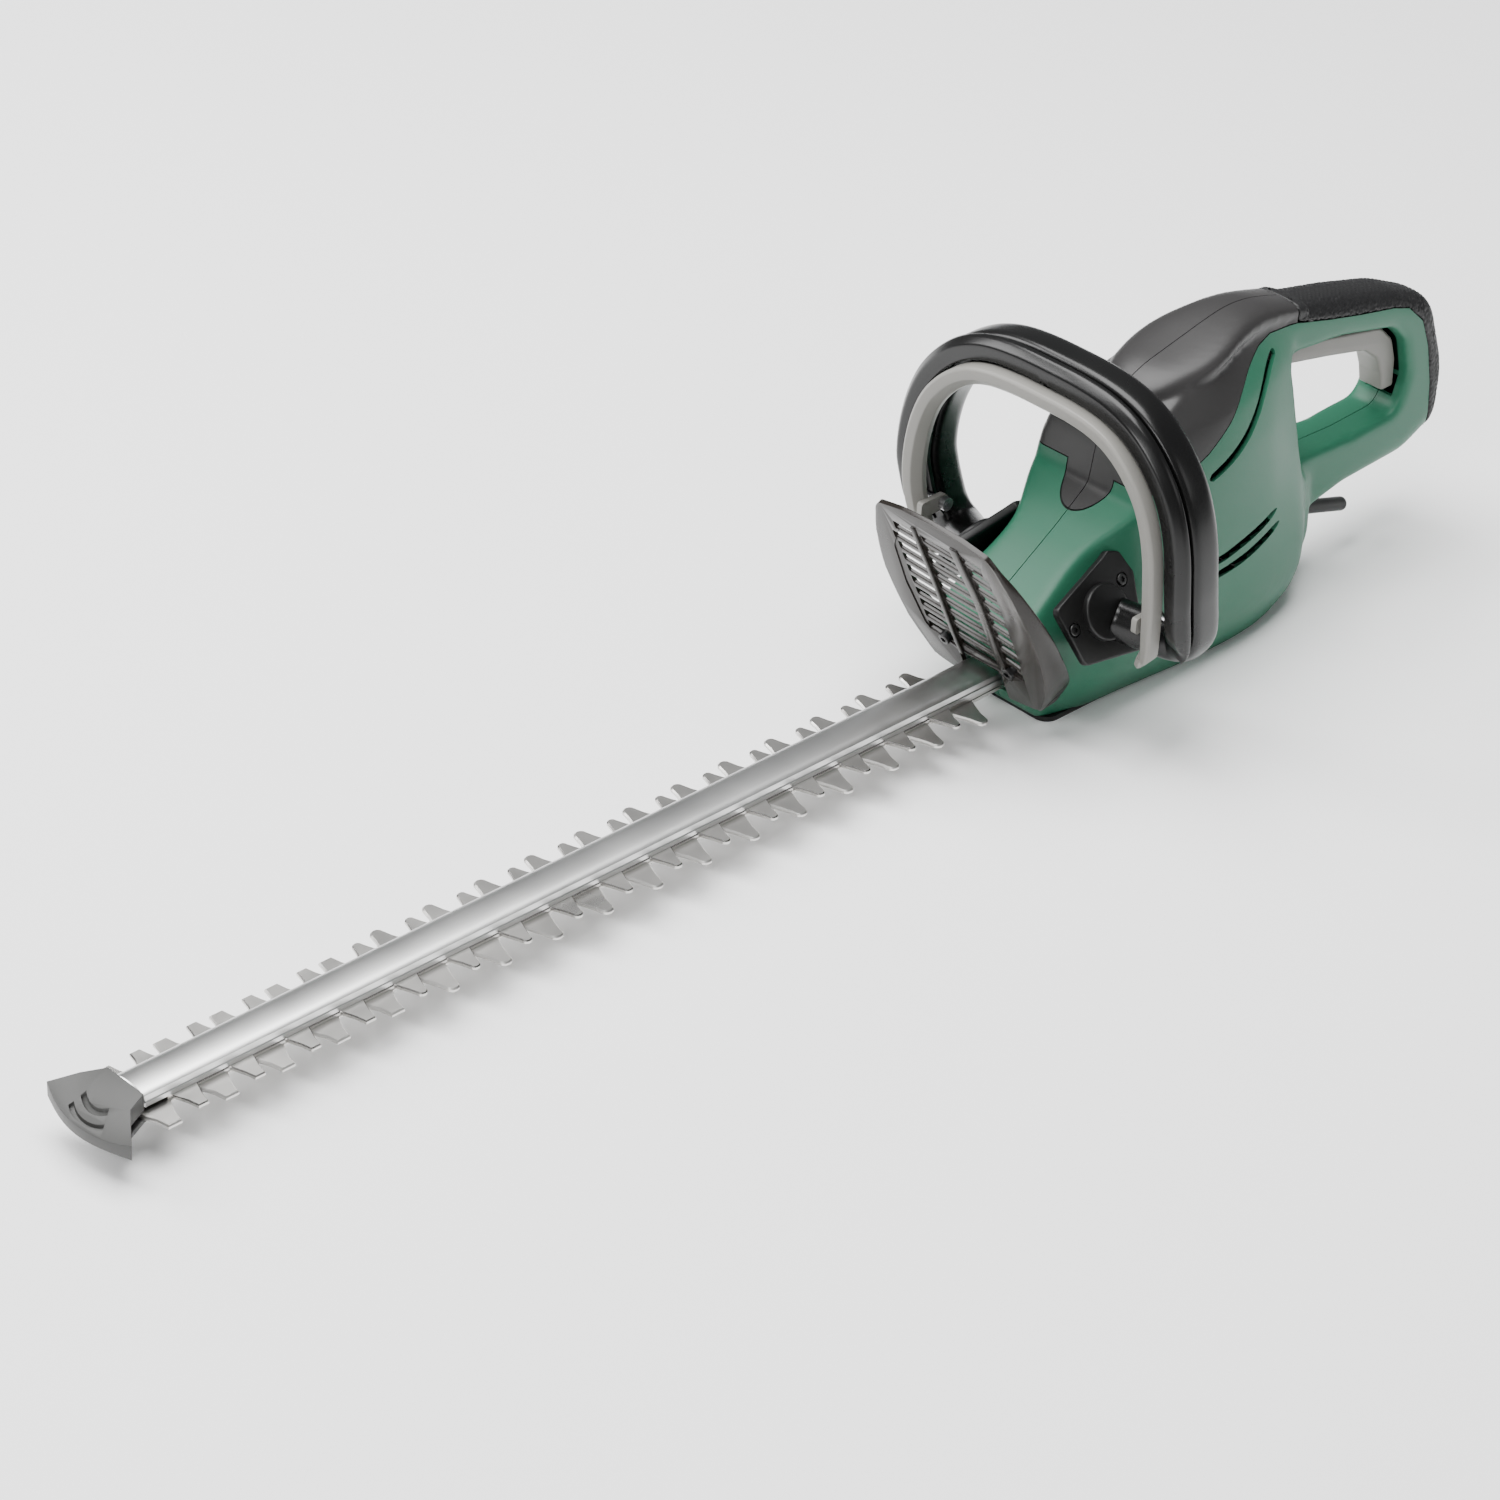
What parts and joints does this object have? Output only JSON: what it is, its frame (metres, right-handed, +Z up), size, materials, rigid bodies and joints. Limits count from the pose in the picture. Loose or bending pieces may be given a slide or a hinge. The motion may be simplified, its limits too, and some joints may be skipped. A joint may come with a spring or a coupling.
{
  "type": "hedge trimmer",
  "caption": "Corded hedge trimmer: double-sided toothed blade on a bar, leaning hand guard, arched front handle with switch lever, upright motor housing, rear loop handle with trigger.",
  "frame": {"origin": "on the flat resting base, directly below the motor's axis", "axes": "+Z up, -X towards the blade's tip, +X towards the rear handle, -Y to the tool's left"},
  "size_m": [0.9857, 0.218, 0.21],
  "materials": {
    "green_plastic": "fine spark-eroded grain",
    "black_plastic": "matt moulded",
    "gloss_black": "satin gloss",
    "hood_plastic": "satin",
    "soft_grip": "knurled soft grip",
    "grey_plastic": "satin",
    "tip_plastic": "matt",
    "aluminium_bar": "brushed",
    "cast_aluminium": "as cast",
    "blade_steel": "laser cut, ground teeth",
    "plain_steel": "machined",
    "dark_screw": "blackened",
    "lamination": "stacked sheet",
    "copper": "enamelled wire",
    "brass": "drawn",
    "carbon": "pressed carbon",
    "nylon": "natural nylon",
    "cord_rubber": "matt"
  },
  "bodies": {
    "root": {"air_baffle": "black_plastic", "base_plate": "black_plastic", "base_screws": "dark_screw", "bearing_bridge": "black_plastic", "blade_bar": "aluminium_bar", "blade_bolts": "plain_steel", "blade_guide": "plain_steel", "brush_holders": "brass", "brush_springs": "plain_steel", "cable_clamp": "black_plastic", "cable_sleeve": "cord_rubber", "capacitor": "nylon", "carbon_brushes": "carbon", "clamp_block": "plain_steel", "clamp_screws": "dark_screw", "comb_blade": "blade_steel", "front_handle_front_shell": "gloss_black", "front_handle_rear_shell": "gloss_black", "front_switch": "black_plastic", "gear_axle": "plain_steel", "gearbox_bolts": "plain_steel", "gearbox_housing": "cast_aluminium", "guard_screws": "dark_screw", "hand_guard": "black_plastic", "handle_plate_left": "black_plastic", "handle_plate_right": "black_plastic", "hood_left": "hood_plastic", "hood_right": "hood_plastic", "housing_left": "green_plastic", "housing_right": "green_plastic", "housing_screws": "dark_screw", "lever_pins": "plain_steel", "lever_springs": "plain_steel", "lower_bearing": "plain_steel", "plate_screws": "dark_screw", "rear_grip_pad": "soft_grip", "rear_switch": "black_plastic", "stator_coils": "copper", "stator_core": "lamination", "tail_bolts": "plain_steel", "terminal_block": "black_plastic", "tip_guard": "tip_plastic", "tip_guard_screw": "dark_screw", "trigger_pin": "plain_steel", "trigger_spring": "plain_steel", "upper_bearing": "plain_steel"},
    "drive_gear_body": {"drive_gear": "plain_steel", "gear_bush": "brass"},
    "rotor": {"rotor_shaft": "plain_steel", "rotor_core": "lamination", "rotor_coils": "copper", "commutator": "copper", "cooling_fan": "nylon"},
    "rod": {"connecting_rod": "plain_steel"},
    "cutter": {"cutter_blade": "blade_steel", "cutter_pin": "plain_steel"},
    "front_lever": {"front_switch_lever": "grey_plastic"},
    "front_plunger_body": {"front_plunger": "nylon"},
    "trigger": {"rear_trigger": "grey_plastic"},
    "rear_plunger_body": {"rear_plunger": "nylon"}
  },
  "joints": [
    {"name": "drive_gear_spin", "type": "hinge", "parent": "root", "child": "drive_gear_body", "pos_m": [-0.04625, 0, 0.048], "axis": [0, 0, 1], "continuous": true},
    {"name": "rotor_spin", "type": "hinge", "parent": "root", "child": "rotor", "pos_m": [0, 0, 0.1], "axis": [0, 0, 1], "continuous": true},
    {"name": "rod_pivot", "type": "hinge", "parent": "drive_gear_body", "child": "rod", "pos_m": [-0.05475, 0, 0.038], "axis": [0, 0, 1], "continuous": true},
    {"name": "cutter_slide", "type": "slide", "parent": "root", "child": "cutter", "axis": [1, 0, 0], "range_m": [0, 0.017]},
    {"name": "front_lever_pivot", "type": "hinge", "parent": "root", "child": "front_lever", "pos_m": [-0.089, 0, 0.082], "axis": [0, 1, 0], "range_deg": [0, 3], "stiffness_Nm_per_rad": 1.2, "springref_deg": -5.73},
    {"name": "front_plunger_slide", "type": "slide", "parent": "root", "child": "front_plunger_body", "axis": [1, 0, 0], "range_m": [-0.0002, 0.0062]},
    {"name": "trigger_pivot", "type": "hinge", "parent": "root", "child": "trigger", "pos_m": [0.086, 0, 0.15], "axis": [0, -1, 0], "range_deg": [0, 3.2], "stiffness_Nm_per_rad": 1.2, "springref_deg": -8.59, "deforming": ["trigger_spring"]},
    {"name": "rear_plunger_slide", "type": "slide", "parent": "root", "child": "rear_plunger_body", "axis": [0, 0, 1], "range_m": [-0.0002, 0.0036]}
  ],
  "couplings": [
    {"joint": "rotor_spin", "follows": "drive_gear_spin", "ratio": -5.1667},
    {"joint": "rod_pivot", "follows": "drive_gear_spin", "ratio": -1},
    {"joint": "front_plunger_slide", "follows": "front_lever_pivot", "m_per_rad": 0.11},
    {"joint": "rear_plunger_slide", "follows": "trigger_pivot", "m_per_rad": 0.054}
  ]
}
